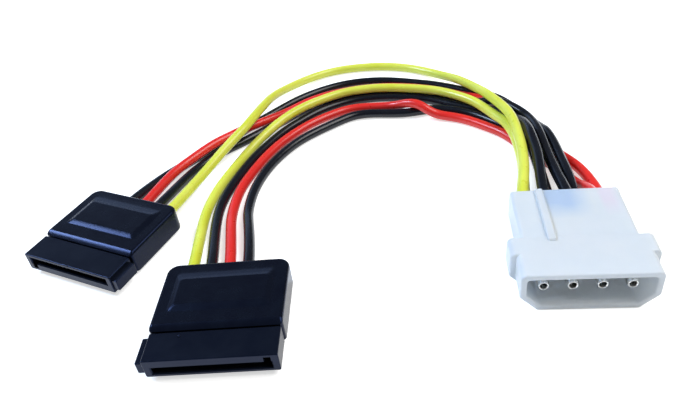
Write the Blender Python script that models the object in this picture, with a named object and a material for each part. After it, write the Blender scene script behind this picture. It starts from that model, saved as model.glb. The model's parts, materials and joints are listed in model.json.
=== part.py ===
# Drive power splitter lead: a 4-pin male housing feeding two flat 15-contact plugs through eight loose wires.
# Units are metres and +Z is up. The lead lies on the plane z = 0, with its origin under the middle of the
# three connectors. Each connector is modelled in its own frame, with its mating face at y = 0 and +Y towards
# its wires, and is placed by an empty.
from math import cos, pi, radians, sin, sqrt, tan

import bmesh
import bpy
import numpy as np
from mathutils import Vector

# Shared clearances
FIT_GAP = 0.0003          # between pieces that seat in or on each other
GROOVE_GAP = 0.0002       # between a spring contact and the side of its groove

# Wires
WIRE_DIAMETER = 0.0024
WIRE_GAP = 0.0003         # between two wires that lie side by side
PAIR_LEAN = radians(54)   # how steeply the two wires of one cavity are stacked
WIRE_POINT_STEP = 2 * WIRE_DIAMETER   # distance between the points of a wire's tube
WIRE_GRIP = 1.5 * WIRE_DIAMETER       # how far inside its bore or cavity a wire starts to turn
MILLIMETRE = 0.001        # the bundle's lines and lanes below are in millimetres
LANE_SPACING = 0.0027     # the wire spacing that the lanes are drawn for
LINE_STEP = 0.0005        # distance between the points that a bundle line is read at
SPLINE_STEPS = 40         # samples between two points of a smooth curve

# Four-pin housing
PIN_PITCH = 0.00508
PIN_COUNT = 4
SHROUD_WIDTH = 0.0240
SHROUD_HEIGHT = 0.0086
SHROUD_WALL = 0.0012
SHROUD_DEPTH = 0.0100     # mating face to the pin wall
SHROUD_CHAMFER = 0.0032   # the two lower corners that stop a reversed plug
SHROUD_TOP_RADIUS = 0.0012
COLLAR_WIDTH = 0.0262
COLLAR_FRONT = 0.0056
COLLAR_BACK = 0.0105
COLLAR_STEP = 0.0002      # how far the collar lies inside the shroud's top and underside
PIN_WALL = 0.0028
HOUSING_LENGTH = 0.0250
REAR_WIDTH = 0.0213
REAR_TOP_DROP = 0.0002
REAR_LIFT = 0.0010        # underside of the rear body above the shroud's underside
REAR_CORNER = 0.0007
KEY_RIB_WIDTH = 0.0016
KEY_RIB_HEIGHT = 0.0006
KEY_RIB_FRONT = 0.0090

# Male pins
PIN_DIAMETER = 0.0021
PIN_BORE = 0.0012
PIN_BORE_DEPTH = 0.0070
PIN_TIP_SETBACK = 0.0018  # tip behind the mating face
PIN_TIP_TAPER = 0.0006
PIN_TIP_PROFILE = [(0.82, 0.0), (0.95, 0.4), (1.0, 1.0)]   # share of the radius, share of the taper
PIN_STOP_DIAMETER = 0.0034
PIN_STOP_LENGTH = 0.0010
PIN_NECK_DIAMETER = 0.0018
CRIMP_DIAMETER = 0.0028
CRIMP_LENGTH = 0.0030
CRIMP_SQUASH = 0.72       # height of the pressed barrel over its round height
PIN_LENGTH = 0.0160

# Flat drive plug, rear block
PLUG_WIDTH = 0.0244
PLUG_LENGTH = 0.0234
BLOCK_FRONT = 0.0066      # mating face to the block's front face
BLOCK_THICKNESS = 0.0056
BLOCK_BACK_RADIUS = 0.0020
BLOCK_BEVEL = 0.0006
PAD_SIDE_MARGIN = 0.0024  # block's side to the pad
PAD_FRONT_MARGIN = 0.0038
PAD_BACK_MARGIN = 0.0022
PAD_HEIGHT = 0.0005
PAD_FRONT_SLOPE = 0.0015
PAD_SIDE_SLOPE = 0.0012
PAD_BACK_SLOPE = 0.0024
BLOCK_WALL = 0.0010       # around the insulator's tongue

# Flat drive plug, insulator
NOSE_WIDTH = 0.0239
NOSE_THICKNESS = 0.0042
NOSE_EDGE = 0.0003
RAIL_WIDTH = 0.0013       # side rail on the 12 V side
RAIL_DROP = 0.0008        # rail below the nose's top and above its underside
TONGUE_THICKNESS = 0.0032
TONGUE_BACK = 0.0120
SLOT_WIDTH = 0.0212
SLOT_HEIGHT = 0.0015
SLOT_DEPTH = 0.0060
SLOT_ROOF = 0.0008        # thin wall over the slot
KEY_LEG_WIDTH = 0.0013    # short leg of the L
KEY_LEG_DEPTH = 0.0013

# Contact combs
CONTACT_PITCH = 0.00127
CONTACTS_PER_COMB = 3
COMB_COUNT = 5
CONTACT_WIDTH = 0.0005
SHEET = 0.00025
GROOVE_DEPTH = 0.0009
GROOVE_FRONT = 0.0008
CONTACT_TIP = 0.0012      # tip behind the mating face
CONTACT_CREST = 0.0028
CREST_RISE = 0.00095      # crest above the comb's flat
TIP_DIP = 0.6             # share of the crest's rise that the tip falls back by
BAR_FRONT = 0.0064
BAR_BACK = 0.0076
COMB_TAIL_WIDTH = 0.0016
COMB_TAIL_BACK = 0.0150
SPARE_TAIL_BACK = 0.0114  # tail of the comb with no wire

# Places on the table: x and y of the mating face's middle, and the turn about +Z
HOUSING_PLACE = (0.0476, -0.0238, radians(-9.0))
FRONT_PLUG_PLACE = (-0.0192, -0.0274, radians(-6.0))
LEFT_PLUG_PLACE = (-0.0515, 0.0023, radians(-29.5))

# The bundle's middle line on the table, from behind the housing to each plug
SHARED_LINE = [(51.5, 1.0), (53.4, 13.0), (54.9, 25.0), (54.9, 37.0), (51.5, 48.4), (44.8, 57.8),
               (35.2, 64.3), (24.0, 67.3), (12.0, 66.6)]
LEFT_LINE = SHARED_LINE + [(0.3, 62.9), (-10.3, 57.8), (-19.9, 51.6), (-27.8, 43.6), (-33.2, 34.2),
                           (-38.2, 22.0)]
FRONT_LINE = SHARED_LINE + [(2.3, 61.0), (-5.3, 51.6), (-10.8, 40.6), (-14.4, 28.6), (-16.7, 16.0),
                            (-18.6, -3.9)]

# Lanes: each wire's hand-chosen points as distance along its line, distance outwards from it and height
LANES = {
    "wire_yellow_left": [
        (3, -7.4, 6.0), (10, -6.1, 6.4), (17, -5.3, 6.65), (23, -4.95, 6.75), (29, -4.6, 6.8),
        (36, -4.1, 6.7), (44, -3.7, 6.45), (50, -2.6, 6.0), (55, -0.9, 5.1), (62, 2.4, 4.0),
        (68, 6.6, 2.4), (76, 12.2, 1.3), (84, 15.5, 1.25), (93, 17.2, 1.25), (100, 15.8, 1.6),
        (107, 12.1, 2.6), (113, 7.4, 4.2), (118, 2.6, 5.4), (124, -2.6, 6.2), (130, -5.7, 5.9),
        (138, -7.1, 4.8), (146, -7.6, 3.9), (154, -7.4, 3.4)],
    "wire_yellow_front": [
        (3, -6.6, 3.2), (11, -5.8, 3.55), (17, -5.2, 3.9), (23, -4.9, 4.0), (29, -4.7, 4.0),
        (36, -4.9, 4.0), (40, -5.5, 4.0), (44, -5.7, 4.0), (49, -5.6, 4.0), (53, -5.5, 4.0),
        (62, -5.3, 3.85), (70, -5.0, 3.75), (79, -4.4, 3.72), (87, -3.4, 3.7), (96, -2.5, 3.7),
        (103, -1.7, 3.75), (109, -0.6, 3.9), (115, 0.8, 3.8), (120, 2.2, 3.2), (126, 3.9, 2.2),
        (132, 5.3, 1.4), (140, 6.6, 1.25), (146, 7.5, 1.25), (153, 8.0, 1.3), (161, 7.5, 2.0)],
    "wire_black_front_a": [
        (3, -3.2, 5.8), (11, -2.6, 6.3), (17, -2.2, 6.6), (23, -2.15, 6.85), (27, -1.95, 6.5),
        (32, -1.65, 5.3), (36, -1.65, 4.1), (40, -2.2, 3.5), (44, -2.9, 2.8), (49, -3.8, 1.7),
        (53, -5.05, 1.25), (60, -6.4, 1.25), (68, -6.2, 1.25), (76, -5.7, 1.25), (84, -4.9, 1.25),
        (93, -4.1, 1.25), (101, -3.3, 1.25), (107, -2.3, 1.25), (114, -1.1, 1.25), (120, 0.2, 1.25),
        (129, 1.8, 1.25), (135, 2.9, 1.25), (142, 4.0, 1.25), (150, 5.0, 1.25), (160, 4.5, 1.8)],
    "wire_black_front_b": [
        (3, -1.8, 3.3), (11, -1.9, 3.5), (17, -2.0, 3.85), (23, -2.0, 4.05), (25, -1.9, 4.0),
        (29, -1.6, 3.3), (32, -1.8, 2.1), (36, -2.75, 1.35), (40, -4.4, 1.25), (44, -5.6, 1.25),
        (49, -6.8, 1.25), (53, -7.8, 1.25), (60, -9.5, 1.25), (66, -11.5, 1.25), (73, -13.8, 1.25),
        (79, -14.4, 1.25), (85, -13.9, 1.25), (92, -12.9, 1.25), (100, -12.0, 1.25), (107, -11.1, 1.25),
        (116, -8.7, 1.25), (124, -5.9, 1.25), (133, -3.6, 1.25), (140, -2.3, 1.25), (147, -1.7, 1.25),
        (155, -2.0, 1.4), (162, -3.3, 2.2)],
    "wire_black_left_a": [
        (3, 1.4, 5.4), (8, 1.0, 5.2), (11, 0.8, 5.05), (17, 0.55, 4.9), (23, 0.6, 4.95), (29, 0.8, 4.95),
        (36, 1.2, 4.0), (40, 0.7, 4.0), (44, -0.1, 4.0), (49, -1.2, 3.3), (53, -2.1, 1.7),
        (60, -3.65, 1.25), (68, -3.45, 1.25), (76, -2.9, 1.25), (84, -2.0, 1.25), (93, -1.2, 1.25),
        (101, -0.6, 1.25), (107, -0.95, 1.25), (112, -1.9, 1.25), (116, -2.8, 1.25), (121, -3.5, 1.25),
        (126, -4.0, 1.25), (132, -3.9, 1.25), (138, -3.1, 1.25), (146, -2.5, 1.3), (153, -2.6, 2.0)],
    "wire_black_left_b": [
        (3, 3.4, 3.4), (9, 3.5, 4.0), (13, 3.4, 4.15), (17, 3.3, 4.05), (23, 3.25, 4.0), (29, 3.2, 3.6),
        (32, 3.2, 2.7), (36, 3.1, 1.7), (40, 3.0, 1.25), (46, 3.3, 1.25), (53, 3.5, 1.25),
        (60, 2.15, 1.25), (68, 2.3, 1.25), (76, 3.4, 1.25), (84, 5.5, 1.25), (93, 6.9, 1.25),
        (101, 6.5, 1.25), (107, 5.5, 1.25), (112, 4.2, 1.25), (118, 2.6, 1.25), (125, 1.1, 1.25),
        (131, 0.3, 1.25), (138, 0.6, 1.25), (146, 2.1, 1.3), (153, 3.6, 1.9)],
    "wire_red_front": [
        (3, 6.9, 4.4), (7, 6.7, 2.9), (10, 5.9, 1.6), (13, 4.6, 1.25), (18, 2.2, 1.25), (23, -0.7, 1.25),
        (29, -3.5, 1.25), (35, -5.6, 1.25), (40, -7.6, 1.25), (46, -9.5, 1.25), (53, -11.4, 1.25),
        (60, -13.3, 1.7), (65, -14.0, 3.0), (69, -13.7, 3.8), (74, -13.0, 3.55), (79, -11.8, 2.3),
        (85, -10.5, 1.5), (93, -8.9, 1.25), (101, -7.6, 1.25), (111, -5.4, 1.25), (117, -3.8, 1.25),
        (124, -2.1, 1.25), (132, -0.5, 1.25), (140, 0.9, 1.25), (147, 1.8, 1.25), (155, 1.7, 1.4),
        (162, 0.7, 2.2)],
    "wire_red_left": [
        (3, 8.9, 2.4), (7, 9.3, 1.6), (11, 9.0, 1.25), (16, 7.8, 1.25), (20, 6.0, 1.25), (25, 3.2, 1.25),
        (29, 1.4, 1.25), (32, 0.85, 1.25), (36, 0.3, 1.25), (40, 0.05, 1.25), (44, 0.3, 1.25),
        (49, 0.7, 1.25), (53, 0.7, 1.25), (60, -0.75, 1.25), (68, -0.5, 1.25), (76, 0.3, 1.25),
        (84, 1.4, 1.25), (93, 2.4, 1.25), (101, 2.8, 1.25), (107, 2.1, 1.25), (112, 1.1, 1.25),
        (117, -0.2, 1.9), (123, -1.2, 2.6), (128, -1.7, 3.2), (132, -1.8, 3.4), (138, -1.3, 3.5),
        (146, -0.4, 3.3), (153, 0.6, 3.3)],
}

# Wires: name, insulation, plug, pin from the 12 V end, layer in its cavity (1 upper, -1 lower), and
# comb from the 12 V end
WIRES = [
    ("wire_yellow_left", "yellow", "left", 0, 1, 0),
    ("wire_yellow_front", "yellow", "front", 0, -1, 0),
    ("wire_black_front_a", "black", "front", 1, 1, 1),
    ("wire_black_front_b", "black", "front", 1, -1, 3),
    ("wire_black_left_a", "black", "left", 2, 1, 1),
    ("wire_black_left_b", "black", "left", 2, -1, 3),
    ("wire_red_front", "red", "front", 3, 1, 2),
    ("wire_red_left", "red", "left", 3, -1, 2),
]

COMB_PITCH = CONTACT_PITCH * CONTACTS_PER_COMB
PIN_AXIS_HEIGHT = SHROUD_HEIGHT / 2
PAIR_SIDE = (WIRE_DIAMETER + WIRE_GAP) / 2 * cos(PAIR_LEAN)
PAIR_RISE = (WIRE_DIAMETER + WIRE_GAP) / 2 * sin(PAIR_LEAN)
PAD_WIDTH = PLUG_WIDTH - 2 * PAD_SIDE_MARGIN
PAD_FRONT = BLOCK_FRONT + PAD_FRONT_MARGIN
PAD_BACK = PLUG_LENGTH - PAD_BACK_MARGIN
PLUG_MID_HEIGHT = BLOCK_THICKNESS / 2 + PAD_HEIGHT
SLOT_TOP = NOSE_THICKNESS / 2 - SLOT_ROOF
SLOT_FLOOR = SLOT_TOP - SLOT_HEIGHT
GROOVE_FLOOR = SLOT_FLOOR - GROOVE_DEPTH
COMB_UNDERSIDE = GROOVE_FLOOR + GROOVE_GAP


# Materials

def material(name, colour, roughness, metallic=0.0):
    made = bpy.data.materials.new(name)
    made.use_nodes = True
    shader = made.node_tree.nodes["Principled BSDF"]
    shader.inputs["Base Color"].default_value = (*colour, 1.0)
    shader.inputs["Roughness"].default_value = roughness
    shader.inputs["Metallic"].default_value = metallic
    made.diffuse_color = (*colour, 1.0)
    return made


# Outlines and solids

def rounded(corners, steps=4):
    """Outline through corners given as (u, v, radius), with an arc of so many steps at each round corner."""
    outline = []
    for index, (u, v, radius) in enumerate(corners):
        here = Vector((u, v))
        if radius == 0:
            outline.append(here)
            continue
        to_last = (Vector(corners[index - 1][:2]) - here).normalized()
        to_next = (Vector(corners[(index + 1) % len(corners)][:2]) - here).normalized()
        half_angle = to_last.angle(to_next) / 2
        start = here + to_last * radius / tan(half_angle)
        middle = here + (to_last + to_next).normalized() * radius / sin(half_angle)
        sweep = (start - middle).angle_signed(here + to_next * radius / tan(half_angle) - middle)
        for step in range(steps + 1):
            turn = -sweep * step / steps
            offset = start - middle
            outline.append(middle + Vector((offset.x * cos(turn) - offset.y * sin(turn),
                                            offset.x * sin(turn) + offset.y * cos(turn))))
    return outline


def link(name, mesh, look, frame):
    made = bpy.data.objects.new(name, mesh)
    bpy.context.scene.collection.objects.link(made)
    made.parent = frame
    if look:
        mesh.materials.append(look)
    return made


def solid(bottom, top):
    """Closed mesh between two rings of points that match one to one."""
    shape = bmesh.new()
    low = [shape.verts.new(point) for point in bottom]
    high = [shape.verts.new(point) for point in top]
    shape.faces.new(low)
    shape.faces.new(high)
    for index in range(len(low)):
        after = (index + 1) % len(low)
        shape.faces.new((low[index], low[after], high[after], high[index]))
    bmesh.ops.recalc_face_normals(shape, faces=shape.faces)
    return shape


def finish_mesh(shape, name):
    mesh = bpy.data.meshes.new(name)
    shape.to_mesh(mesh)
    shape.free()
    return mesh


def along_y(outline, front, back):
    """Outline in x and z, run from front to back along y."""
    return solid([(x, front, z) for x, z in outline], [(x, back, z) for x, z in outline])


def along_z(outline, low, high):
    """Outline in x and y, run from low to high along z."""
    return solid([(x, y, low) for x, y in outline], [(x, y, high) for x, y in outline])


def box(low, high):
    corners = [(low[0], low[1]), (high[0], low[1]), (high[0], high[1]), (low[0], high[1])]
    return along_z(corners, low[2], high[2])


def gather(shapes, name):
    """One mesh from several separate closed shapes."""
    whole = bmesh.new()
    for shape in shapes:
        piece = finish_mesh(shape, name)
        whole.from_mesh(piece)
        bpy.data.meshes.remove(piece)
    return finish_mesh(whole, name)


def combine(target, mesh, operation):
    """Add to or cut from the target with a hidden tool made of the mesh."""
    tool = link(f"{target.name}_{mesh.name}", mesh, None, target.parent)
    tool.hide_render = True
    tool.display_type = "WIRE"
    step = target.modifiers.new(mesh.name, "BOOLEAN")
    step.operation = operation
    step.solver = "EXACT"
    step.object = tool


def smooth_round_faces(mesh, angle=radians(35)):
    mesh.shade_smooth()
    mesh.set_sharp_from_angle(angle=angle)


# Four-pin housing

def shroud_outline(width, low, high, chamfer, top_radius):
    half = width / 2
    soft = chamfer / 4
    return rounded([(half, low + chamfer, soft), (half, high, top_radius), (-half, high, top_radius),
                    (-half, low + chamfer, soft), (-half + chamfer, low, soft), (half - chamfer, low, soft)])


def pin_positions():
    return [(index - (PIN_COUNT - 1) / 2) * PIN_PITCH for index in range(PIN_COUNT)]


def make_housing(frame, look):
    shroud = shroud_outline(SHROUD_WIDTH, 0, SHROUD_HEIGHT, SHROUD_CHAMFER, SHROUD_TOP_RADIUS)
    mesh = finish_mesh(along_y(shroud, 0, COLLAR_BACK - FIT_GAP), "shroud")
    housing = link("four_pin_housing", mesh, look, frame)

    collar = shroud_outline(COLLAR_WIDTH, COLLAR_STEP, SHROUD_HEIGHT - COLLAR_STEP, SHROUD_CHAMFER,
                            SHROUD_TOP_RADIUS)
    combine(housing, finish_mesh(along_y(collar, COLLAR_FRONT, COLLAR_BACK), "collar"), "UNION")

    half = REAR_WIDTH / 2
    top = SHROUD_HEIGHT - REAR_TOP_DROP
    rear = rounded([(half, REAR_LIFT, REAR_CORNER), (half, top, REAR_CORNER),
                    (-half, top, REAR_CORNER), (-half, REAR_LIFT, REAR_CORNER)], steps=3)
    rear_front = SHROUD_DEPTH + PIN_WALL / 2
    combine(housing, finish_mesh(along_y(rear, min(rear_front, COLLAR_BACK - FIT_GAP), HOUSING_LENGTH),
                                 "rear_body"), "UNION")

    rib_middle = (pin_positions()[0] + pin_positions()[1]) / 2
    rib_half = KEY_RIB_WIDTH / 2
    rib_top = SHROUD_HEIGHT + KEY_RIB_HEIGHT - REAR_TOP_DROP
    rib = rounded([(rib_middle + rib_half, SHROUD_HEIGHT - SHROUD_WALL / 2, 0),
                   (rib_middle + rib_half, rib_top, KEY_RIB_HEIGHT / 2),
                   (rib_middle - rib_half, rib_top, KEY_RIB_HEIGHT / 2),
                   (rib_middle - rib_half, SHROUD_HEIGHT - SHROUD_WALL / 2, 0)], steps=3)
    combine(housing, finish_mesh(along_y(rib, KEY_RIB_FRONT, HOUSING_LENGTH - FIT_GAP), "key_rib"), "UNION")

    inner = shroud_outline(SHROUD_WIDTH - 2 * SHROUD_WALL, SHROUD_WALL, SHROUD_HEIGHT - SHROUD_WALL,
                           SHROUD_CHAMFER - SHROUD_WALL * (2 - sqrt(2)), SHROUD_TOP_RADIUS / 2)
    combine(housing, finish_mesh(along_y(inner, -SHROUD_WALL, SHROUD_DEPTH), "mating_cavity"), "DIFFERENCE")

    cavities = []
    holes = []
    half_wide = PAIR_SIDE + WIRE_DIAMETER / 2 + FIT_GAP
    half_high = PAIR_RISE + WIRE_DIAMETER / 2 + FIT_GAP
    hole_radius = PIN_DIAMETER / 2 + FIT_GAP
    corner = WIRE_DIAMETER / 4
    for x in pin_positions():
        opening = rounded([(x + half_wide, PIN_AXIS_HEIGHT - half_high, corner),
                           (x + half_wide, PIN_AXIS_HEIGHT + half_high, corner),
                           (x - half_wide, PIN_AXIS_HEIGHT + half_high, corner),
                           (x - half_wide, PIN_AXIS_HEIGHT - half_high, corner)], steps=3)
        cavities.append(along_y(opening, SHROUD_DEPTH + PIN_WALL, HOUSING_LENGTH + SHROUD_WALL))
        ring = [(x + hole_radius * cos(pi * step / 8), PIN_AXIS_HEIGHT + hole_radius * sin(pi * step / 8))
                for step in range(16)]
        holes.append(along_y(ring, SHROUD_DEPTH - SHROUD_WALL, SHROUD_DEPTH + PIN_WALL + SHROUD_WALL))
    combine(housing, gather(cavities, "wire_cavities"), "DIFFERENCE")
    combine(housing, gather(holes, "pin_holes"), "DIFFERENCE")


def pin_mesh():
    """A rolled pin turned about +Y from its tip at y = 0, with its crimp barrel pressed flat."""
    radius = PIN_DIAMETER / 2
    stop = SHROUD_DEPTH + PIN_WALL + FIT_GAP - PIN_TIP_SETBACK
    neck_end = PIN_LENGTH - CRIMP_LENGTH
    profile = [(0, PIN_BORE_DEPTH + PIN_BORE / 2), (PIN_BORE / 2, PIN_BORE_DEPTH), (PIN_BORE / 2, 0)]
    profile += [(radius * reach, PIN_TIP_TAPER * back) for reach, back in PIN_TIP_PROFILE]
    stop_back = stop + PIN_STOP_LENGTH
    profile += [(radius, stop), (PIN_STOP_DIAMETER / 2, stop), (PIN_STOP_DIAMETER / 2, stop_back),
                (PIN_NECK_DIAMETER / 2, stop_back), (PIN_NECK_DIAMETER / 2, neck_end),
                (CRIMP_DIAMETER / 2, neck_end), (CRIMP_DIAMETER / 2, PIN_LENGTH), (0, PIN_LENGTH)]
    sides = 20
    shape = bmesh.new()
    rings = []
    for reach, y in profile:
        flat = CRIMP_SQUASH if y >= neck_end else 1.0
        if reach == 0:
            rings.append([shape.verts.new((0, y, 0))] * sides)
            continue
        rings.append([shape.verts.new((reach * cos(2 * pi * side / sides), y,
                                       reach * sin(2 * pi * side / sides) * flat)) for side in range(sides)])
    for ring, following in zip(rings, rings[1:]):
        for side in range(sides):
            after = (side + 1) % sides
            corners = dict.fromkeys((ring[side], ring[after], following[after], following[side]))
            shape.faces.new(list(corners))
    bmesh.ops.recalc_face_normals(shape, faces=shape.faces)
    mesh = finish_mesh(shape, "rolled_pin")
    smooth_round_faces(mesh)
    return mesh


def make_pins(frame, look):
    mesh = pin_mesh()
    mesh.materials.append(look)
    for name, x in zip(("pin_12v", "pin_ground_a", "pin_ground_b", "pin_5v"), pin_positions()):
        pin = link(name, mesh, None, frame)
        pin.location = (x, PIN_TIP_SETBACK, PIN_AXIS_HEIGHT)


# Flat drive plugs. In a plug's frame z = 0 is its mid height, the slot lies nearer +Z and 12 V is at +X.

def comb_positions():
    """Middles of the combs, centred in the part of the slot beside the key leg, from the 12 V end."""
    return [KEY_LEG_WIDTH / 2 + ((COMB_COUNT - 1) / 2 - index) * COMB_PITCH for index in range(COMB_COUNT)]


def make_block(prefix, frame, look):
    half = PLUG_WIDTH / 2
    plan = rounded([(half, BLOCK_FRONT, BLOCK_BEVEL), (half, PLUG_LENGTH, BLOCK_BACK_RADIUS),
                    (-half, PLUG_LENGTH, BLOCK_BACK_RADIUS), (-half, BLOCK_FRONT, BLOCK_BEVEL)], steps=5)
    mesh = finish_mesh(along_z(plan, -BLOCK_THICKNESS / 2, BLOCK_THICKNESS / 2), "rear_block")
    block = link(f"{prefix}_overmould", mesh, look, frame)
    edge = block.modifiers.new("rounded_edges", "BEVEL")
    edge.width = BLOCK_BEVEL
    edge.segments = 2
    edge.limit_method = "ANGLE"
    edge.angle_limit = radians(60)

    half_pad = PAD_WIDTH / 2
    for side, name in ((1, "top_pad"), (-1, "under_pad")):
        foot = side * (BLOCK_THICKNESS / 2 - BLOCK_BEVEL / 2)
        face = side * (BLOCK_THICKNESS / 2 + PAD_HEIGHT)
        slope = 1 + BLOCK_BEVEL / 2 / PAD_HEIGHT
        inner_side = half_pad - PAD_SIDE_SLOPE
        low = [(inner_side + PAD_SIDE_SLOPE * slope, PAD_FRONT + PAD_FRONT_SLOPE * (1 - slope), foot),
               (inner_side + PAD_SIDE_SLOPE * slope, PAD_BACK - PAD_BACK_SLOPE * (1 - slope), foot)]
        high = [(inner_side, PAD_FRONT + PAD_FRONT_SLOPE, face),
                (inner_side, PAD_BACK - PAD_BACK_SLOPE, face)]
        mirrored = [[(-x, y, z) for x, y, z in reversed(ring)] for ring in (low, high)]
        combine(block, finish_mesh(solid(low + mirrored[0], high + mirrored[1]), name), "UNION")

    reach_x = PLUG_WIDTH / 2 - BLOCK_WALL
    reach_z = TONGUE_THICKNESS / 2 + FIT_GAP
    pocket = box((-reach_x, BLOCK_FRONT - BLOCK_WALL, -reach_z), (reach_x, TONGUE_BACK + FIT_GAP, reach_z))
    combine(block, finish_mesh(pocket, "tongue_pocket"), "DIFFERENCE")

    bore = WIRE_DIAMETER / 2 + FIT_GAP
    bores = []
    for x in comb_positions()[:COMB_COUNT - 1]:
        ring = [(x + bore * cos(pi * step / 6), bore * sin(pi * step / 6)) for step in range(12)]
        bores.append(along_y(ring, TONGUE_BACK, PLUG_LENGTH + BLOCK_WALL))
    combine(block, gather(bores, "wire_bores"), "DIFFERENCE")


def make_insulator(prefix, frame, look):
    half = NOSE_WIDTH / 2
    thick = NOSE_THICKNESS / 2
    back = BLOCK_FRONT - FIT_GAP
    nose_outline = rounded([(half, -thick, NOSE_EDGE), (half, thick, NOSE_EDGE),
                            (-half, thick, NOSE_EDGE), (-half, -thick, NOSE_EDGE)], steps=2)
    nose = link(f"{prefix}_insulator", finish_mesh(along_y(nose_outline, 0, back), "nose"), look, frame)

    rail_high = thick - RAIL_DROP
    rail_outer = half + RAIL_WIDTH
    rail_root = half - NOSE_EDGE * 2
    rail_outline = rounded([(rail_outer, -rail_high, NOSE_EDGE), (rail_outer, rail_high, NOSE_EDGE),
                            (rail_root, rail_high, 0), (rail_root, -rail_high, 0)], steps=2)
    combine(nose, finish_mesh(along_y(rail_outline, NOSE_EDGE, back - NOSE_EDGE), "side_rail"), "UNION")

    tongue_x = PLUG_WIDTH / 2 - BLOCK_WALL - FIT_GAP
    tongue_z = TONGUE_THICKNESS / 2
    tongue = box((-tongue_x, back - NOSE_EDGE, -tongue_z), (tongue_x, TONGUE_BACK, tongue_z))
    combine(nose, finish_mesh(tongue, "tongue"), "UNION")

    slot_x = SLOT_WIDTH / 2
    slot = box((-slot_x, -SLOT_ROOF, SLOT_FLOOR), (slot_x, SLOT_DEPTH, SLOT_TOP))
    combine(nose, finish_mesh(slot, "slot"), "DIFFERENCE")
    leg = box((-slot_x, -SLOT_ROOF * 2, SLOT_FLOOR - KEY_LEG_DEPTH),
              (-slot_x + KEY_LEG_WIDTH, SLOT_DEPTH - FIT_GAP, SLOT_FLOOR + SLOT_HEIGHT / 2))
    combine(nose, finish_mesh(leg, "key_leg"), "DIFFERENCE")

    grooves = []
    channels = []
    groove_half = CONTACT_WIDTH / 2 + GROOVE_GAP
    channel_half = COMB_TAIL_WIDTH / 2 + FIT_GAP
    channel_top = COMB_UNDERSIDE + SHEET + GROOVE_GAP
    for comb_x in comb_positions():
        for contact in range(CONTACTS_PER_COMB):
            x = comb_x + (contact - (CONTACTS_PER_COMB - 1) / 2) * CONTACT_PITCH
            grooves.append(box((x - groove_half, GROOVE_FRONT, GROOVE_FLOOR),
                               (x + groove_half, BAR_FRONT, SLOT_FLOOR + SLOT_HEIGHT / 3)))
        bar_half = (CONTACTS_PER_COMB - 1) / 2 * CONTACT_PITCH + groove_half
        channels.append(box((comb_x - bar_half, BAR_FRONT - GROOVE_GAP, GROOVE_FLOOR),
                            (comb_x + bar_half, BAR_BACK + GROOVE_GAP, channel_top)))
        channels.append(box((comb_x - channel_half, BAR_BACK, GROOVE_FLOOR),
                            (comb_x + channel_half, TONGUE_BACK + BLOCK_WALL, channel_top)))
    combine(nose, gather(grooves, "contact_grooves"), "DIFFERENCE")
    combine(nose, gather(channels[0::2], "bar_seats"), "DIFFERENCE")
    combine(nose, gather(channels[1::2], "tail_channels"), "DIFFERENCE")


def contact_height(y):
    """Height of a spring contact over the comb's flat: an arch between its tip and the bar."""
    if y >= BAR_FRONT:
        return 0.0
    if y >= CONTACT_CREST:
        along = (BAR_FRONT - y) / (BAR_FRONT - CONTACT_CREST)
        return CREST_RISE * (1 - cos(pi * along)) / 2
    along = (CONTACT_CREST - y) / (CONTACT_CREST - CONTACT_TIP)
    return CREST_RISE * (1 - TIP_DIP * along * along)


def comb_mesh(tail_back, name):
    """A stamped strip: contacts, the bar that joins them, and a tail for the wire, from one sheet."""
    edges = {-COMB_TAIL_WIDTH / 2, COMB_TAIL_WIDTH / 2}
    contacts = []
    for contact in range(CONTACTS_PER_COMB):
        x = (contact - (CONTACTS_PER_COMB - 1) / 2) * CONTACT_PITCH
        contacts.append((x - CONTACT_WIDTH / 2, x + CONTACT_WIDTH / 2))
        edges.update(contacts[-1])
    across = sorted(edges)
    steps = 5
    rise = CONTACT_CREST - CONTACT_TIP
    fall = BAR_FRONT - CONTACT_CREST
    stations = [CONTACT_TIP + rise * step / steps for step in range(steps)]
    stations += [CONTACT_CREST + fall * step / (2 * steps) for step in range(2 * steps)]
    stations += [BAR_FRONT, BAR_BACK, tail_back]

    def filled(column, row):
        middle = (across[column] + across[column + 1]) / 2
        place = (stations[row] + stations[row + 1]) / 2
        if place > BAR_BACK:
            return abs(middle) < COMB_TAIL_WIDTH / 2
        return place > BAR_FRONT or any(left < middle < right for left, right in contacts)

    shape = bmesh.new()
    points = {}

    def point(column, row, level):
        if (column, row, level) not in points:
            height = contact_height(stations[row]) + level * SHEET
            points[column, row, level] = shape.verts.new((across[column], stations[row], height))
        return points[column, row, level]

    columns = range(len(across) - 1)
    rows = range(len(stations) - 1)
    cells = {(column, row) for column in columns for row in rows if filled(column, row)}
    for column, row in cells:
        corners = [(column, row), (column + 1, row), (column + 1, row + 1), (column, row + 1)]
        for level in (0, 1):
            shape.faces.new([point(*corner, level) for corner in corners])
        neighbours = [(column, row - 1), (column + 1, row), (column, row + 1), (column - 1, row)]
        for side, neighbour in enumerate(neighbours):
            if neighbour not in cells:
                start, end = corners[side], corners[(side + 1) % 4]
                shape.faces.new((point(*start, 0), point(*end, 0), point(*end, 1), point(*start, 1)))
    bmesh.ops.recalc_face_normals(shape, faces=shape.faces)
    return finish_mesh(shape, name)


def make_combs(prefix, frame, look):
    wired = comb_mesh(COMB_TAIL_BACK, f"{prefix}_wired_comb")
    spare = comb_mesh(SPARE_TAIL_BACK, f"{prefix}_spare_comb")
    wired.materials.append(look)
    spare.materials.append(look)
    circuits = ("12v", "ground_a", "5v", "ground_b", "3v3")
    for circuit, x in zip(circuits, comb_positions()):
        comb = link(f"{prefix}_comb_{circuit}", spare if circuit == "3v3" else wired, None, frame)
        comb.location = (x, 0, COMB_UNDERSIDE)


# Wires

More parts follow.
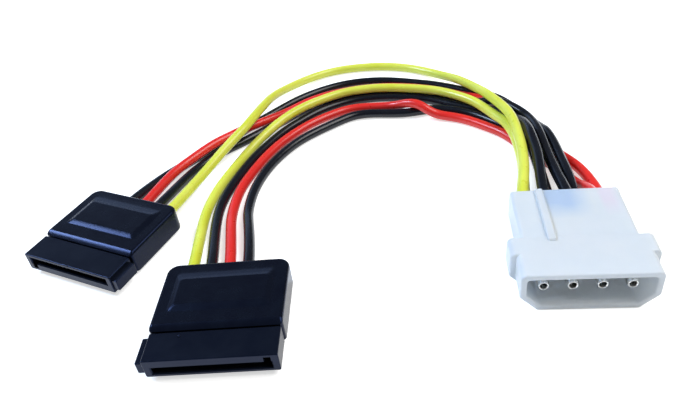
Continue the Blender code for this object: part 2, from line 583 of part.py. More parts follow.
def smooth_points(corners, spacing):
    """Evenly spaced points on the natural cubic spline through the corners."""
    knots = np.array([tuple(corner) for corner in corners])
    steps = np.sqrt(np.linalg.norm(np.diff(knots, axis=0), axis=1))
    slopes = np.diff(knots, axis=0) / steps[:, None]
    system = np.eye(len(knots))
    bends = np.zeros_like(knots)
    for row in range(1, len(knots) - 1):
        system[row, row - 1:row + 2] = steps[row - 1], 2 * (steps[row - 1] + steps[row]), steps[row]
        bends[row] = 6 * (slopes[row] - slopes[row - 1])
    bends = np.linalg.solve(system, bends)
    fine = []
    for index, step in enumerate(steps):
        start = slopes[index] - step * (2 * bends[index] + bends[index + 1]) / 6
        growth = (bends[index + 1] - bends[index]) / (6 * step)
        for t in np.linspace(0, step, SPLINE_STEPS, endpoint=False):
            fine.append(knots[index] + t * start + t ** 2 * bends[index] / 2 + t ** 3 * growth)
    fine.append(knots[-1])
    fine = np.array(fine)
    travelled = np.append(0, np.cumsum(np.linalg.norm(np.diff(fine, axis=0), axis=1)))
    wanted = np.linspace(0, travelled[-1], round(travelled[-1] / spacing) + 1)
    return np.stack([np.interp(wanted, travelled, values) for values in fine.T], axis=1)


def lane_point(line, along, outward, height):
    """Point beside a bundle line, with the lane's offset and height widened as the wires are."""
    spread = MILLIMETRE * (WIRE_DIAMETER + WIRE_GAP) / LANE_SPACING
    position = along * MILLIMETRE / LINE_STEP
    index = min(int(position), len(line) - 2)
    ahead = line[index + 1] - line[index]
    here = line[index] + ahead * (position - index)
    x, y = here + np.array((ahead[1], -ahead[0])) / np.linalg.norm(ahead) * outward * spread
    return Vector((x, y, height * spread))


def make_wires(frames, looks):
    lines = {}
    for plug, corners in (("left", LEFT_LINE), ("front", FRONT_LINE)):
        lines[plug] = smooth_points(np.array(corners) * MILLIMETRE, LINE_STEP)
    for name, colour, plug, pin, layer, comb in WIRES:
        x = pin_positions()[pin] - layer * PAIR_SIDE
        height = PIN_AXIS_HEIGHT + layer * PAIR_RISE
        in_housing = (PIN_TIP_SETBACK + PIN_LENGTH + FIT_GAP, HOUSING_LENGTH - WIRE_GRIP)
        in_plug = (PLUG_LENGTH + WIRE_DIAMETER / 2, PLUG_LENGTH - WIRE_GRIP, COMB_TAIL_BACK + FIT_GAP)
        corners = [frames["housing"].matrix_world @ Vector((x, y, height)) for y in in_housing]
        corners += [lane_point(lines[plug], *lane) for lane in LANES[name]]
        corners += [frames[plug].matrix_world @ Vector((comb_positions()[comb], y, 0)) for y in in_plug]

        curve = bpy.data.curves.new(name, "CURVE")
        curve.dimensions = "3D"
        curve.bevel_depth = WIRE_DIAMETER / 2
        curve.bevel_resolution = 2
        curve.render_resolution_u = 0
        curve.use_fill_caps = True
        points = smooth_points(corners, WIRE_POINT_STEP)
        spline = curve.splines.new("POLY")
        spline.points.add(len(points) - 1)
        for point, place in zip(spline.points, points):
            point.co = (*place, 1.0)
        link(name, curve, looks[colour], None)


# Assembly

def place_frame(name, place, height, turned_over=False):
    frame = bpy.data.objects.new(name, None)
    bpy.context.scene.collection.objects.link(frame)
    x, y, turn = place
    frame.location = (x, y, height)
    frame.rotation_euler = (0, pi if turned_over else 0, turn)
    return frame


def build():
    for old in list(bpy.data.objects):
        bpy.data.objects.remove(old, do_unlink=True)

    nylon = material("natural_nylon", (0.80, 0.86, 0.93), 0.35)
    tin = material("tinned_brass", (0.78, 0.77, 0.74), 0.28, metallic=1.0)
    black_vinyl = material("black_vinyl", (0.012, 0.014, 0.020), 0.38)
    black_nylon = material("black_nylon", (0.016, 0.018, 0.024), 0.42)
    bronze = material("gilt_bronze", (0.83, 0.62, 0.28), 0.25, metallic=1.0)

    insulation = {
        "yellow": material("yellow_insulation", (0.76, 0.83, 0.10), 0.32),
        "black": material("black_insulation", (0.012, 0.013, 0.018), 0.30),
        "red": material("red_insulation", (0.80, 0.045, 0.030), 0.30),
    }

    frames = {
        "housing": place_frame("housing_frame", HOUSING_PLACE, 0),
        "left": place_frame("left_plug_frame", LEFT_PLUG_PLACE, PLUG_MID_HEIGHT),
        "front": place_frame("front_plug_frame", FRONT_PLUG_PLACE, PLUG_MID_HEIGHT, turned_over=True),
    }
    bpy.context.view_layer.update()

    make_housing(frames["housing"], nylon)
    make_pins(frames["housing"], tin)
    for prefix in ("left", "front"):
        make_block(prefix, frames[prefix], black_vinyl)
        make_insulator(prefix, frames[prefix], black_nylon)
        make_combs(prefix, frames[prefix], bronze)
    make_wires(frames, insulation)
    bpy.context.view_layer.update()


build()
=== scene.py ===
# Looks of the drive power splitter lead: its camera, its eight wires, its moulded connectors and its studio.
# Metres, +Z up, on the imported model's frame. Each connector is drawn in its own frame, with its mating face
# at y = 0 and +Y towards its wires.
import json
from math import cos, pi, radians, sin, sqrt, tan

import bmesh
import bpy
import numpy as np
from mathutils import Matrix, Vector

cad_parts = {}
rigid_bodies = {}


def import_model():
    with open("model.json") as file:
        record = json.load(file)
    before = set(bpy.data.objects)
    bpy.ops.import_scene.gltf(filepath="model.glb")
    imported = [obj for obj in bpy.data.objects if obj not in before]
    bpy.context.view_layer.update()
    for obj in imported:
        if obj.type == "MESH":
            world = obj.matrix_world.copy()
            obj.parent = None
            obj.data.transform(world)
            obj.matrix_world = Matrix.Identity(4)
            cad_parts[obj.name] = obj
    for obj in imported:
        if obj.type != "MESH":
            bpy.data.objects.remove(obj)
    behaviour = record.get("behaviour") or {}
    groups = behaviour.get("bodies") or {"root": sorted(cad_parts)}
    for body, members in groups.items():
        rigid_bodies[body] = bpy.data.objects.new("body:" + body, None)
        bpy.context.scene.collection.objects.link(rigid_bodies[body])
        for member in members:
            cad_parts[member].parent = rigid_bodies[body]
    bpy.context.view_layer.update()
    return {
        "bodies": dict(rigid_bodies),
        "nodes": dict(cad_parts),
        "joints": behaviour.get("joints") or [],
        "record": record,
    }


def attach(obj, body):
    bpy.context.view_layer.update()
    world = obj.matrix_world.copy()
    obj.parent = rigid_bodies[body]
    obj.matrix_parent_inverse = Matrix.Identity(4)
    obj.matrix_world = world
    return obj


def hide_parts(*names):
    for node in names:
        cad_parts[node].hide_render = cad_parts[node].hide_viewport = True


# Places on the table: x and y of the mating face's middle, and the turn about +Z
HOUSING_PLACE = (0.0476, -0.0238, radians(-9.0))
FRONT_PLUG_PLACE = (-0.0192, -0.0274, radians(-6.0))
LEFT_PLUG_PLACE = (-0.0515, 0.0023, radians(-29.5))
PLUG_MID_HEIGHT = 0.0033

# Camera
CAMERA_PLACE = (0.0067, -0.0985, 0.08798)
CAMERA_DOWN = radians(36.92)   # pitch below the horizon
CAMERA_ROLL = radians(-8.02)
CAMERA_LENS = 33.38            # millimetres, for a sensor 36 mm wide
CAMERA_NEAR = 0.002

# Wires
WIRE_DIAMETER = 0.0024
WIRE_GAP = 0.0003
PAIR_LEAN = radians(54)        # how steeply the two wires of one cavity are stacked
WIRE_STEP = 0.0008             # between the points of a wire's line
WIRE_SIDES = 6                 # bevel resolution of a wire's tube
WIRE_GRIP = 1.5 * WIRE_DIAMETER
MILLIMETRE = 0.001             # the bundle's lines and lanes below are in millimetres
LANE_SPACING = 0.0027
LINE_STEP = 0.0005
SPLINE_STEPS = 40

# Four-pin housing
PIN_PITCH = 0.00508
PIN_COUNT = 4
SHROUD_WIDTH = 0.0240
SHROUD_HEIGHT = 0.0086
SHROUD_WALL = 0.0012
SHROUD_DEPTH = 0.0100
SHROUD_CHAMFER = 0.0032
SHROUD_TOP_RADIUS = 0.0012
LEAST_RADIUS = 0.00008         # that a corner keeps where the outline shrinks
RIM_RADIUS = 0.00035           # rounding of the shroud's rim
COLLAR_WIDTH = 0.0262
COLLAR_FRONT = 0.0056
COLLAR_BACK = 0.0105
COLLAR_DROP = 0.00002          # collar's top below the shroud's
COLLAR_RADIUS = 0.0004
COLLAR_LAP = 0.0016            # how far the rear body reaches into the shroud
PIN_WALL = 0.0028
HOUSING_LENGTH = 0.0250
REAR_WIDTH = 0.0213
REAR_TOP = 0.0084
REAR_LIFT = 0.0010
REAR_CHAMFER = 0.0014
REAR_RADIUS = 0.0005
REAR_TOP_RADIUS = 0.0008
KEY_RIB_WIDTH = 0.0016
KEY_RIB_TOP = 0.0090
KEY_RIB_FRONT = 0.0090
KEY_RIB_RADIUS = 0.0003
KEY_RIB_TAPER = 0.3            # share of the ends' rounding by which they are also narrower
CAVITY_FLARE = 0.0001          # lead-in round each wire cavity

# Painted show-through on the nylon's rear end, standing in for the wires inside seen through the wall:
# painted shade over the black wires and painted pink over the red ones. Where it fades in along the rear end,
# and where each fades in and out across it
SHOW_THROUGH_ALONG = (0.0170, 0.0220)
PAINTED_BLACK_WIRE_SHADE = ((-0.0047, -0.0033), (0.0005, 0.0046))
PAINTED_RED_WIRE_PINK = ((0.0058, 0.0068), (0.0085, 0.0100))

# Male pins
PIN_DIAMETER = 0.0021
PIN_BORE = 0.0013
PIN_BORE_DEPTH = 0.0070
PIN_BORE_BREAK = 0.0001        # broken edge round the bore's mouth
PIN_CORE_LAP = 0.00005         # how far the solid core reaches into the rolled sheet
PIN_TIP_SETBACK = 0.0018
PIN_TIP_TAPER = 0.0006
PIN_TIP_PROFILE = [(0.80, 0), (0.90, 0.25), (0.97, 0.6), (1.0, 1.0)]   # shares of radius and of taper
PIN_SEAM = radians(7)          # width of the rolled sheet's open seam
PIN_STOP_DIAMETER = 0.0034
PIN_STOP_LENGTH = 0.0010
PIN_NECK_DIAMETER = 0.0018
CRIMP_DIAMETER = 0.0028
CRIMP_LENGTH = 0.0030
CRIMP_SQUASH = 0.72
PIN_LENGTH = 0.0160
PIN_SIDES = 48
MERGE_DISTANCE = 0.000001      # between points of a turned shape that become one

# Flat drive plug, rear block
PLUG_WIDTH = 0.0244
PLUG_LENGTH = 0.0234
BLOCK_FRONT = 0.0066
BLOCK_THICKNESS = 0.0056
BLOCK_EDGE = 0.0007
BLOCK_BROW = 0.00125           # run of the slope from the block's top down to its front face
BROW_FLATNESS = 0.65           # 1 for a straight slope, 0 for a round one
BLOCK_FRONT_RADIUS = 0.0007
BLOCK_BACK_RADIUS = 0.0023
BLOCK_LEAST_RADIUS = 0.0001
PAD_WIDTH = 0.0196
PAD_FRONT = 0.0104
PAD_BACK = 0.0212
PAD_HEIGHT = 0.0005
PAD_FRONT_SLOPE = 0.0015
PAD_SIDE_SLOPE = 0.0012
PAD_BACK_SLOPE = 0.0026
PAD_RADIUS = 0.0007
PAD_SCOOP = 1.6                # hollowness of the pad's back slope, 1 for a straight one
BLOCK_WALL = 0.0012
BORE_FLARE = 0.00025
BORE_SIDES = 32

# Pad's rings: share of its height, and how far its rounded top edge has drawn in there
PAD_RINGS = [(-0.8, 0), (0.25, 0), (0.5, 0), (0.7, 0), (0.88, 0.00003), (0.97, 0.00012), (1.0, 0.00028)]

# Flat drive plug, insulator
NOSE_WIDTH = 0.0239
NOSE_THICKNESS = 0.0042
NOSE_EDGE = 0.0003
NOSE_END_RADIUS = 0.00021
RAIL_WIDTH = 0.0013
RAIL_DROP = 0.0008
RAIL_SETBACK = 0.0003          # of the rail's two ends from the nose's face and from its back
RAIL_EDGE = 0.00018
RAIL_END_INSET = 0.00015
RAIL_LAP = 0.0006              # how far the rail reaches into the nose
TONGUE_THICKNESS = 0.0032
TONGUE_BACK = 0.0120
SLOT_WIDTH = 0.0212
SLOT_HEIGHT = 0.0015
SLOT_DEPTH = 0.0060
SLOT_ROOF = 0.0008
SLOT_FLARE = 0.0002
KEY_LEG_WIDTH = 0.0013
KEY_LEG_DEPTH = 0.0013
NIB_PLACE = (0.0062, 0.0053)   # small moulding nib on the nose's closed side
NIB_RADIUS = 0.0003
NIB_HEIGHT = 0.0002
NIB_RINGS = 5
NIB_SIDES = 16

# Contact grooves
CONTACT_PITCH = 0.00127
CONTACTS_PER_COMB = 3
COMB_COUNT = 5
GROOVE_WIDTH = 0.0009
GROOVE_DEPTH = 0.0009
GROOVE_FRONT = 0.0008
SHEET = 0.00025
COMB_GAP = 0.0002
BAR_FRONT = 0.0064
COMB_TAIL_BACK = 0.0150
FIT_GAP = 0.0003

# Studio
FLOOR_DROP = 0.00004           # floor below the lead's underside
FLOOR_REACH = 2.0
FLOOR_UNDERSIDE = -0.01
FLOOR_COLOUR = (0.93, 0.93, 0.925)
FLOOR_GLOW_COLOUR = (1.0, 1.0, 0.995)
FLOOR_GLOW = 0.60              # what the floor adds to its own lit white where it is looked at
ROOM_COLOUR = (0.90, 0.95, 1.0)
ROOM_STRENGTH = 0.14
LAMP_TARGET = (0, 0.02, 0)

# Lamps: name, place, width, height, watts and colour
LAMPS = [
    ("overhead", (0.50, -0.04, 0.72), 0.60, 0.50, 6.3, (1.0, 0.985, 0.96)),
    ("window", (-0.58, 0.22, 0.58), 0.25, 0.25, 6.6, (0.56, 0.73, 1.0)),
    ("backdrop", (-0.28, 0.90, 0.30), 0.80, 0.25, 0.7, (0.45, 0.64, 1.0)),
]

# The bundle's middle line on the table, from behind the housing to each plug
SHARED_LINE = [(51.5, 1.0), (53.4, 13.0), (54.9, 25.0), (54.9, 37.0), (51.5, 48.4), (44.8, 57.8),
               (35.2, 64.3), (24.0, 67.3), (12.0, 66.6)]
LEFT_LINE = SHARED_LINE + [(0.3, 62.9), (-10.3, 57.8), (-19.9, 51.6), (-27.8, 43.6), (-33.2, 34.2),
                           (-38.2, 22.0)]
FRONT_LINE = SHARED_LINE + [(2.3, 61.0), (-5.3, 51.6), (-10.8, 40.6), (-14.4, 28.6), (-16.7, 16.0),
                            (-18.6, -3.9)]

# Lanes: each wire's listed points as distance along its line, distance outwards from it and height
LANES = {
    "wire_yellow_left": [
        (3, -7.4, 6.0), (10, -6.1, 6.4), (17, -5.3, 6.65), (23, -4.95, 6.75), (29, -4.6, 6.8),
        (36, -4.1, 6.7), (44, -3.7, 6.45), (50, -2.6, 6.0), (55, -0.9, 5.1), (62, 2.4, 4.0),
        (68, 6.6, 2.4), (76, 12.2, 1.3), (84, 15.5, 1.25), (93, 17.2, 1.25), (100, 15.8, 1.6),
        (107, 12.1, 2.6), (113, 7.4, 4.2), (118, 2.6, 5.4), (124, -2.6, 6.2), (130, -5.7, 5.9),
        (138, -7.1, 4.8), (146, -7.6, 3.9), (154, -7.4, 3.4)],
    "wire_yellow_front": [
        (3, -6.6, 3.2), (11, -5.8, 3.55), (17, -5.2, 3.9), (23, -4.9, 4.0), (29, -4.7, 4.0),
        (36, -4.9, 4.0), (40, -5.5, 4.0), (44, -5.7, 4.0), (49, -5.6, 4.0), (53, -5.5, 4.0),
        (62, -5.3, 3.85), (70, -5.0, 3.75), (79, -4.4, 3.72), (87, -3.4, 3.7), (96, -2.5, 3.7),
        (103, -1.7, 3.75), (109, -0.6, 3.9), (115, 0.8, 3.8), (120, 2.2, 3.2), (126, 3.9, 2.2),
        (132, 5.3, 1.4), (140, 6.6, 1.25), (146, 7.5, 1.25), (153, 8.0, 1.3), (161, 7.5, 2.0)],
    "wire_black_front_a": [
        (3, -3.2, 5.8), (11, -2.6, 6.3), (17, -2.2, 6.6), (23, -2.15, 6.85), (27, -1.95, 6.5),
        (32, -1.65, 5.3), (36, -1.65, 4.1), (40, -2.2, 3.5), (44, -2.9, 2.8), (49, -3.8, 1.7),
        (53, -5.05, 1.25), (60, -6.4, 1.25), (68, -6.2, 1.25), (76, -5.7, 1.25), (84, -4.9, 1.25),
        (93, -4.1, 1.25), (101, -3.3, 1.25), (107, -2.3, 1.25), (114, -1.1, 1.25), (120, 0.2, 1.25),
        (129, 1.8, 1.25), (135, 2.9, 1.25), (142, 4.0, 1.25), (150, 5.0, 1.25), (160, 4.5, 1.8)],
    "wire_black_front_b": [
        (3, -1.8, 3.3), (11, -1.9, 3.5), (17, -2.0, 3.85), (23, -2.0, 4.05), (25, -1.9, 4.0),
        (29, -1.6, 3.3), (32, -1.8, 2.1), (36, -2.75, 1.35), (40, -4.4, 1.25), (44, -5.6, 1.25),
        (49, -6.8, 1.25), (53, -7.8, 1.25), (60, -9.5, 1.25), (66, -11.5, 1.25), (73, -13.8, 1.25),
        (79, -14.4, 1.25), (85, -13.9, 1.25), (92, -12.9, 1.25), (100, -12.0, 1.25), (107, -11.1, 1.25),
        (116, -8.7, 1.25), (124, -5.9, 1.25), (133, -3.6, 1.25), (140, -2.3, 1.25), (147, -1.7, 1.25),
        (155, -2.0, 1.4), (162, -3.3, 2.2)],
    "wire_black_left_a": [
        (3, 1.4, 5.4), (8, 1.0, 5.2), (11, 0.8, 5.05), (17, 0.55, 4.9), (23, 0.6, 4.95), (29, 0.8, 4.95),
        (36, 1.2, 4.0), (40, 0.7, 4.0), (44, -0.1, 4.0), (49, -1.2, 3.3), (53, -2.1, 1.7),
        (60, -3.65, 1.25), (68, -3.45, 1.25), (76, -2.9, 1.25), (84, -2.0, 1.25), (93, -1.2, 1.25),
        (101, -0.6, 1.25), (107, -0.95, 1.25), (112, -1.9, 1.25), (116, -2.8, 1.25), (121, -3.5, 1.25),
        (126, -4.0, 1.25), (132, -3.9, 1.25), (138, -3.1, 1.25), (146, -2.5, 1.3), (153, -2.6, 2.0)],
    "wire_black_left_b": [
        (3, 3.4, 3.4), (9, 3.5, 4.0), (13, 3.4, 4.15), (17, 3.3, 4.05), (23, 3.25, 4.0), (29, 3.2, 3.6),
        (32, 3.2, 2.7), (36, 3.1, 1.7), (40, 3.0, 1.25), (46, 3.3, 1.25), (53, 3.5, 1.25),
        (60, 2.15, 1.25), (68, 2.3, 1.25), (76, 3.4, 1.25), (84, 5.5, 1.25), (93, 6.9, 1.25),
        (101, 6.5, 1.25), (107, 5.5, 1.25), (112, 4.2, 1.25), (118, 2.6, 1.25), (125, 1.1, 1.25),
        (131, 0.3, 1.25), (138, 0.6, 1.25), (146, 2.1, 1.3), (153, 3.6, 1.9)],
    "wire_red_front": [
        (3, 6.9, 4.4), (7, 6.7, 2.9), (10, 5.9, 1.6), (13, 4.6, 1.25), (18, 2.2, 1.25), (23, -0.7, 1.25),
        (29, -3.5, 1.25), (35, -5.6, 1.25), (40, -7.6, 1.25), (46, -9.5, 1.25), (53, -11.4, 1.25),
        (60, -13.3, 1.7), (65, -14.0, 3.0), (69, -13.7, 3.8), (74, -13.0, 3.55), (79, -11.8, 2.3),
        (85, -10.5, 1.5), (93, -8.9, 1.25), (101, -7.6, 1.25), (111, -5.4, 1.25), (117, -3.8, 1.25),
        (124, -2.1, 1.25), (132, -0.5, 1.25), (140, 0.9, 1.25), (147, 1.8, 1.25), (155, 1.7, 1.4),
        (162, 0.7, 2.2)],
    "wire_red_left": [
        (3, 8.9, 2.4), (7, 9.3, 1.6), (11, 9.0, 1.25), (16, 7.8, 1.25), (20, 6.0, 1.25), (25, 3.2, 1.25),
        (29, 1.4, 1.25), (32, 0.85, 1.25), (36, 0.3, 1.25), (40, 0.05, 1.25), (44, 0.3, 1.25),
        (49, 0.7, 1.25), (53, 0.7, 1.25), (60, -0.75, 1.25), (68, -0.5, 1.25), (76, 0.3, 1.25),
        (84, 1.4, 1.25), (93, 2.4, 1.25), (101, 2.8, 1.25), (107, 2.1, 1.25), (112, 1.1, 1.25),
        (117, -0.2, 1.9), (123, -1.2, 2.6), (128, -1.7, 3.2), (132, -1.8, 3.4), (138, -1.3, 3.5),
        (146, -0.4, 3.3), (153, 0.6, 3.3)],
}

# Wires: name, insulation, plug, pin from the 12 V end, layer in its cavity (1 upper, -1 lower), comb from
# the 12 V end, and length from its pin to its contact
WIRES = [
    ("wire_yellow_left", "yellow", "left", 0, 1, 0, 0.2026),
    ("wire_yellow_front", "yellow", "front", 0, -1, 0, 0.1852),
    ("wire_black_front_a", "black", "front", 1, 1, 1, 0.1844),
    ("wire_black_front_b", "black", "front", 1, -1, 3, 0.1677),
    ("wire_black_left_a", "black", "left", 2, 1, 1, 0.1780),
    ("wire_black_left_b", "black", "left", 2, -1, 3, 0.1924),
    ("wire_red_front", "red", "front", 3, 1, 2, 0.1747),
    ("wire_red_left", "red", "left", 3, -1, 2, 0.1857),
]

# Shading
SHARP_ANGLE = radians(40)      # an edge folded more than this stays crisp

# Worked out from the sizes above
SLOT_TOP = NOSE_THICKNESS / 2 - SLOT_ROOF
SLOT_FLOOR = SLOT_TOP - SLOT_HEIGHT
GROOVE_FLOOR = SLOT_FLOOR - GROOVE_DEPTH
PIN_AXIS_HEIGHT = SHROUD_HEIGHT / 2
PAIR_SIDE = (WIRE_DIAMETER + WIRE_GAP) / 2 * cos(PAIR_LEAN)
PAIR_RISE = (WIRE_DIAMETER + WIRE_GAP) / 2 * sin(PAIR_LEAN)


# Shader sums

class Socket:
    """A shader output that takes part in Python sums, each of which adds the node for it."""

    def __init__(self, tree, output):
        self.tree = tree
        self.output = output

    def node(self, kind, settings=None, **sockets):
        """New node of a kind: settings first, then inputs by name, or by number as i0, i1 and so on."""
        made = self.tree.nodes.new(kind)
        for name, value in (settings or {}).items():
            if name == "stops":
                stops = made.color_ramp.elements
                for index, (position, colour) in enumerate(value):
                    stop = stops[index] if index < 2 else stops.new(position)
                    stop.position = position
                    stop.color = (*colour, 1.0)
            else:
                setattr(made, name, value)
        for name, value in sockets.items():
            numbered = name[0] == "i" and name[1:].isdigit()
            entry = made.inputs[int(name[1:]) if numbered else name.replace("_", " ")]
            if isinstance(value, Socket):
                self.tree.links.new(value.output, entry)
            else:
                entry.default_value = value
        return made

    def sum(self, operation, first, second=0.0, clamp=False):
        made = self.node("ShaderNodeMath", {"operation": operation, "use_clamp": clamp}, i0=first, i1=second)
        return Socket(self.tree, made.outputs[0])

    def __add__(self, other):
        return self.sum("ADD", self, other)

    def __sub__(self, other):
        return self.sum("SUBTRACT", self, other)

    def __rsub__(self, other):
        return self.sum("SUBTRACT", other, self)

    def __mul__(self, other):
        return self.sum("MULTIPLY", self, other)

    __radd__ = __add__
    __rmul__ = __mul__

    def mask(self, low, high):
        """0 below low, 1 above high."""
        return self.sum("MULTIPLY", self - low, 1.0 / (high - low), clamp=True)

    def blend(self, first, second):
        """Colour between two, by this amount."""
        made = self.node("ShaderNodeMix", {"data_type": "RGBA"}, i0=self)
        for entry, value in ((made.inputs[6], first), (made.inputs[7], second)):
            if isinstance(value, Socket):
                self.tree.links.new(value.output, entry)
            else:
                entry.default_value = (*value, 1.0)
        return Socket(self.tree, made.outputs[2])


class Finish:
    """A procedural material on one Principled shader."""

    def __init__(self, name, **uniform):
        self.material = bpy.data.materials.new(name)
        self.material.use_nodes = True
        self.tree = self.material.node_tree
        self.shader = self.tree.nodes["Principled BSDF"]
        for entry, value in uniform.items():
            self.shader.inputs[entry.replace("_", " ")].default_value = value
        coordinates = self.tree.nodes.new("ShaderNodeTexCoord")
        self.place = Socket(self.tree, coordinates.outputs["Object"])

    def axes(self):
        """The three object coordinates in metres."""
        split = self.place.node("ShaderNodeSeparateXYZ", None, Vector=self.place)
        return [Socket(self.tree, output) for output in split.outputs]

    def noise(self, grain, detail=2.0, roughness=0.5, stretch=(1, 1, 1)):
        """Cloudy noise from 0 to 1 with grains of about this size in metres."""
        moved = self.place.node("ShaderNodeMapping", None, Vector=self.place, Scale=stretch)
        made = self.place.node("ShaderNodeTexNoise", None, Vector=Socket(self.tree, moved.outputs[0]),
                               Scale=1.0 / grain, Detail=detail, Roughness=roughness)
        return Socket(self.tree, made.outputs[0])

    def wear(self, entry, value):
        self.tree.links.new(value.output, self.shader.inputs[entry])

    def bump(self, height, strength, depth):
        made = self.place.node("ShaderNodeBump", None, Height=height, Strength=strength, Distance=depth)
        self.tree.links.new(made.outputs[0], self.shader.inputs["Normal"])


def natural_nylon():
    """Milky nylon, with painted shade over the two cavities with black wires and painted pink over the one
    with red wires, standing in for the wires seen through the wall.
    """
    finish = Finish("natural_nylon", IOR=1.53, Subsurface_Weight=0.55, Subsurface_Radius=(1.0, 1.05, 1.15),
                    Subsurface_Scale=0.0018, Transmission_Weight=0.25)
    cloud = finish.noise(0.006, detail=3.0)
    across, along = finish.axes()[:2]
    shade_starts, shade_ends = PAINTED_BLACK_WIRE_SHADE
    pink_show_starts, pink_show_ends = PAINTED_RED_WIRE_PINK
    # Painted show-through: a painted shade over the black wires inside and a painted pink over the red ones,
    # in place of the wires seen through the wall
    rear = (along + 0.003 * cloud).mask(*SHOW_THROUGH_ALONG)
    painted_wire_shade = rear * (across + 0.0006 * cloud).mask(*shade_starts) * (1.0 - across.mask(*shade_ends))
    painted_red_pink = rear * across.mask(*pink_show_starts) * (1.0 - across.mask(*pink_show_ends))
    milky = cloud.mask(0.3, 0.7).blend((0.86, 0.91, 0.955), (0.90, 0.945, 0.98))
    with_painted_shade = (0.75 * painted_wire_shade).blend(milky, (0.50, 0.66, 0.94))
    finish.wear("Base Color", (0.5 * painted_red_pink).blend(with_painted_shade, (0.93, 0.78, 0.92)))
    finish.wear("Roughness", 0.30 + 0.10 * finish.noise(0.0012))
    finish.bump(finish.noise(0.0008, detail=3.0), 0.10, 0.0001)
    return finish.material


def black_moulding(name, base, sheen_patch, roughness):
    """Black moulded plastic with a faint blue cast, cloudy flow marks and a fine spark-eroded grain."""
    finish = Finish(name, Specular_IOR_Level=0.25, Specular_Tint=(0.24, 0.38, 1.0, 1.0))
    flow = finish.noise(0.004, detail=4.0, roughness=0.6)
    finish.wear("Base Color", flow.mask(0.35, 0.75).blend(base, sheen_patch))
    finish.wear("Roughness", roughness + 0.08 * flow + 0.04 * finish.noise(0.0006))
    finish.bump(finish.noise(0.0005, detail=2.0), 0.05, 0.00005)
    return finish.material


def insulation(name, base, deep, roughness=0.24, level=0.5):
    """Extruded wire insulation: glossy, slightly uneven in colour, with long shallow ripples."""
    finish = Finish(name, Specular_IOR_Level=level, Subsurface_Weight=0.08, Subsurface_Radius=(1.0, 0.6, 0.3),
                    Subsurface_Scale=0.0006)
    drift = finish.noise(0.009, detail=2.0)
    finish.wear("Base Color", drift.mask(0.35, 0.7).blend(base, deep))
    finish.wear("Roughness", roughness + 0.10 * finish.noise(0.0015))
    finish.bump(finish.noise(0.0022, detail=2.0) + 0.25 * finish.noise(0.0004), 0.12, 0.00012)
    return finish.material


def plated(name, base, worn, roughness, grain):
    """Plated metal with fine drawing lines and a duller patch here and there."""
    finish = Finish(name, Metallic=1.0)
    patch = finish.noise(0.0012, detail=3.0)
    lines = finish.noise(grain, detail=2.0, stretch=(1, 0.08, 1))
    finish.wear("Base Color", patch.mask(0.45, 0.75).blend(base, worn))
    finish.wear("Roughness", roughness + 0.16 * patch.mask(0.4, 0.8) + 0.08 * lines)
    finish.bump(lines, 0.12, 0.00003)
    return finish.material


# Outlines and solids

def rounded(corners, steps=4):
    """Outline through corners given as (u, v, radius), with an arc of so many steps at each round corner."""
    outline = []
    for index, (u, v, radius) in enumerate(corners):
        here = Vector((u, v))
        if radius == 0:
            outline.append(here)
            continue
        to_last = (Vector(corners[index - 1][:2]) - here).normalized()
        to_next = (Vector(corners[(index + 1) % len(corners)][:2]) - here).normalized()
        half_angle = to_last.angle(to_next) / 2
        start = here + to_last * radius / tan(half_angle)
        middle = here + (to_last + to_next).normalized() * radius / sin(half_angle)
        sweep = (start - middle).angle_signed(here + to_next * radius / tan(half_angle) - middle)
        offset = start - middle
        for step in range(steps + 1):
            turn = -sweep * step / steps
            outline.append(middle + Vector((offset.x * cos(turn) - offset.y * sin(turn),
                                            offset.x * sin(turn) + offset.y * cos(turn))))
    return outline


def circle(u, v, radius, sides):
    turns = [2 * pi * step / sides for step in range(sides)]
    return [(u + radius * cos(turn), v + radius * sin(turn)) for turn in turns]


def rectangle(low, high, radius, steps):
    """Rounded rectangle between two corners."""
    return rounded([(high[0], low[1], radius), (high[0], high[1], radius),
                    (low[0], high[1], radius), (low[0], low[1], radius)], steps)


def round_over(radius, steps=4):
    """How far back and how far in each ring of a rounded edge lies, from the face to the side."""
    turns = [pi / 2 * step / steps for step in range(steps + 1)]
    return [(radius * (1 - cos(turn)), radius * (1 - sin(turn))) for turn in turns]


def loft(rings):
    """Closed mesh through rings of points that match one to one."""
    shape = bmesh.new()
    rows = [[shape.verts.new(point) for point in ring] for ring in rings]
    for row, following in zip(rows, rows[1:]):
        for index in range(len(row)):
            after = (index + 1) % len(row)
            shape.faces.new((row[index], row[after], following[after], following[index]))
    shape.faces.new(rows[0])
    shape.faces.new(rows[-1])
    bmesh.ops.recalc_face_normals(shape, faces=shape.faces)
    mesh = bpy.data.meshes.new("solid")
    shape.to_mesh(mesh)
    shape.free()
    return mesh


def ring_y(outline, y):
    return [(u, y, v) for u, v in outline]


def ring_z(outline, z):
    return [(u, v, z) for u, v in outline]


def box(low, high):
    corners = [(low[0], low[1]), (high[0], low[1]), (high[0], high[1]), (low[0], high[1])]
    return loft([ring_z(corners, low[2]), ring_z(corners, high[2])])


def gather(meshes):
    """One mesh from several separate closed ones."""
    whole = bmesh.new()
    for mesh in meshes:
        whole.from_mesh(mesh)
    mesh = bpy.data.meshes.new("group")
    whole.to_mesh(mesh)
    whole.free()
    return mesh


def add_object(name, data):
    made = bpy.data.objects.new(name, data)
    bpy.context.scene.collection.objects.link(made)
    return made


def worked(mesh, steps):
    """The mesh after each other one in turn has been joined to it or cut from it."""
    body = add_object("work", mesh)
    tools = []
    for operation, other in steps:
        tool = add_object("tool", other)
        tools.append(tool)
        change = body.modifiers.new("change", "BOOLEAN")
        change.operation = operation
        change.solver = "EXACT"
        change.object = tool
    bpy.context.view_layer.update()
    made = bpy.data.meshes.new_from_object(body.evaluated_get(bpy.context.evaluated_depsgraph_get()))
    for used in [body, *tools]:
        bpy.data.objects.remove(used)
    return made


